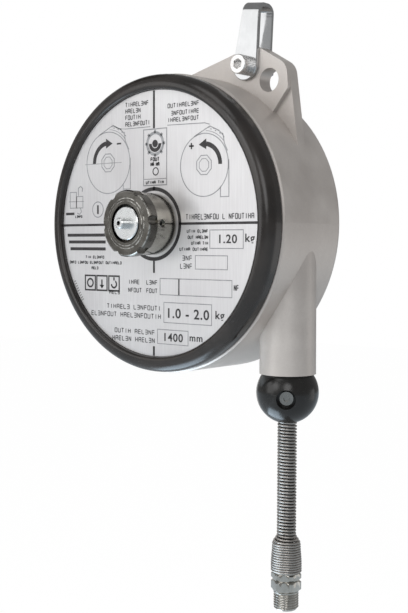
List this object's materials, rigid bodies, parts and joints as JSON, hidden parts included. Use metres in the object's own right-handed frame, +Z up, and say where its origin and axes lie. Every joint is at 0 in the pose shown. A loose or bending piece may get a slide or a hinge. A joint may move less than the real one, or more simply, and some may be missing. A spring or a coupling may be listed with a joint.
{
  "type": "spring balancer with air hose",
  "caption": "Round spring balancer with a hanging shackle, an adjusting knob at its centre and an air hose that leaves from a neck at the side, with a ball stop and a threaded end.",
  "frame": {"origin": "inside of the shackle's crown, where the hook bears, at the middle of its width", "axes": "+Z up along the pull, -Y towards the label and the knob, +X towards the side that the hose leaves from"},
  "size_m": [0.1587, 0.0867, 0.3153],
  "materials": {
    "casting": "satin",
    "rim_black": "gloss",
    "label": "satin",
    "nickel": "polished",
    "bright_steel": "polished",
    "screw_steel": "satin",
    "spring_steel": "satin",
    "turned_steel": "satin",
    "bronze": "satin",
    "drum_plastic": "matte",
    "nylon": "matte",
    "friction_plastic": "matte",
    "rubber": "semi-gloss",
    "hose_black": "satin"
  },
  "bodies": {
    "housing": {"housing": "casting", "front_cover": "rim_black", "label_plate": "label", "case_screws": "screw_steel", "front_bush": "bronze", "rear_bush": "bronze", "friction_washer": "friction_plastic", "disc_spring": "spring_steel", "outlet_bush": "nylon", "hose_run": "hose_black"},
    "shackle": {"shackle": "bright_steel", "shackle_screw": "bright_steel", "shackle_nut": "bright_steel"},
    "tension_spindle": {"spindle": "turned_steel", "spindle_seals": "rubber", "knob_collar": "nickel", "collar_screw": "screw_steel", "adjusting_knob": "nickel", "inlet_nipple": "nickel"},
    "drum": {"drum": "drum_plastic", "drum_front_bush": "bronze", "drum_rear_bush": "bronze", "drum_cover": "drum_plastic", "drum_cover_screws": "screw_steel", "mainspring": "spring_steel", "spring_anchor_pin": "turned_steel", "hose_winding": "hose_black", "feed_hose": "hose_black", "hub_fitting": "nickel"},
    "hose_end": {"ball_stop": "rubber", "stop_sleeve": "turned_steel", "stop_screw": "screw_steel", "end_hose": "hose_black", "spring_guard": "bright_steel", "union_nut": "nickel", "end_fitting": "nickel"}
  },
  "joints": [
    {"name": "shackle_swing", "type": "hinge", "parent": "housing", "child": "shackle", "pos_m": [-0.00399, 0, -0.03034], "axis": [0, 1, 0], "range_deg": [-60, 60]},
    {"name": "tension_adjust", "type": "hinge", "parent": "housing", "child": "tension_spindle", "pos_m": [-0.04149, -0.0355, -0.11274], "axis": [0, -1, 0], "range_deg": [0, 1620]},
    {"name": "drum_turn", "type": "hinge", "parent": "housing", "child": "drum", "pos_m": [-0.04149, -0.0055, -0.11274], "axis": [0, 1, 0], "range_deg": [0, 1218.2], "stiffness_Nm_per_rad": 0.0161, "springref_deg": -2028.27, "deforming": ["mainspring"]},
    {"name": "hose_pull", "type": "slide", "parent": "housing", "child": "hose_end", "axis": [0, 0, -1], "range_m": [0, 1.351], "deforming": ["hose_run"]}
  ],
  "couplings": [
    {"joint": "hose_pull", "follows": "drum_turn", "m_per_rad": 0.0635}
  ]
}
